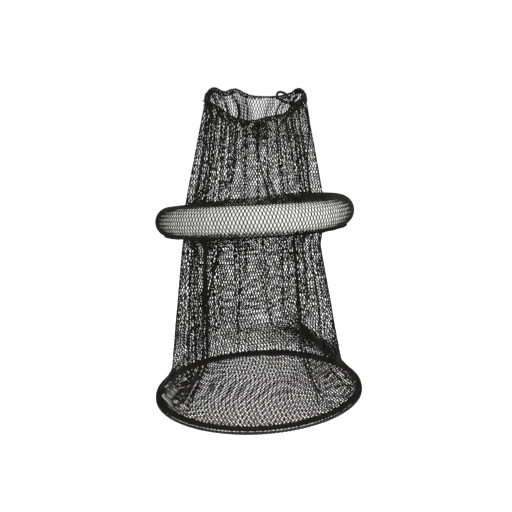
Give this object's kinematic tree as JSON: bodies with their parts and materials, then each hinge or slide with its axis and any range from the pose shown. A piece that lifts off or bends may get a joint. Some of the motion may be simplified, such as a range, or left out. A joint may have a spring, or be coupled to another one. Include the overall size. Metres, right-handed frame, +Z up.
{
  "type": "floating bait keeper net",
  "caption": "Netting tube gathered on a drawstring at the mouth, held open by a foam float ring and a coated steel hoop with a flat net bottom.",
  "frame": {"origin": "middle of the mouth, level with the drawstring, where the net is held up", "axes": "+Z up along the hanging net, +X to the right of the front, -Y is the front with the knot and the gather"},
  "size_m": [0.4048, 0.4054, 0.6035],
  "materials": {
    "netting": "black knitted nylon mesh",
    "cord": "black braided cord",
    "foam": "white closed-cell foam",
    "coated_steel": "black plastic coat, semi-gloss",
    "plug": "grey moulded plastic"
  },
  "bodies": {
    "mouth_rim": {"drawstring_rim": "cord", "drawstring_knot": "cord", "drawstring_bow": "cord", "drawstring_tail": "cord", "tail_knot": "cord", "mouth_band": "netting", "upper_net": "netting", "upper_seam": "cord", "seam_gather": "netting"},
    "float_ring": {"foam_float": "foam", "float_joint_plug": "plug", "float_sleeve": "netting", "float_lacing": "cord", "lower_net": "netting", "lower_seam": "cord"},
    "bottom_ring": {"bottom_hoop": "coated_steel", "hoop_hem": "netting", "hem_stitching": "cord", "bottom_net": "netting"}
  },
  "joints": [
    {"name": "float_lift", "type": "slide", "parent": "mouth_rim", "child": "float_ring", "axis": [0, 0, 1], "range_m": [0, 0.13], "deforming": ["upper_net", "upper_seam", "drawstring_tail", "tail_knot"]},
    {"name": "hoop_lift", "type": "slide", "parent": "float_ring", "child": "bottom_ring", "axis": [0, 0, 1], "range_m": [0, 0.245], "deforming": ["lower_net", "lower_seam"]}
  ]
}
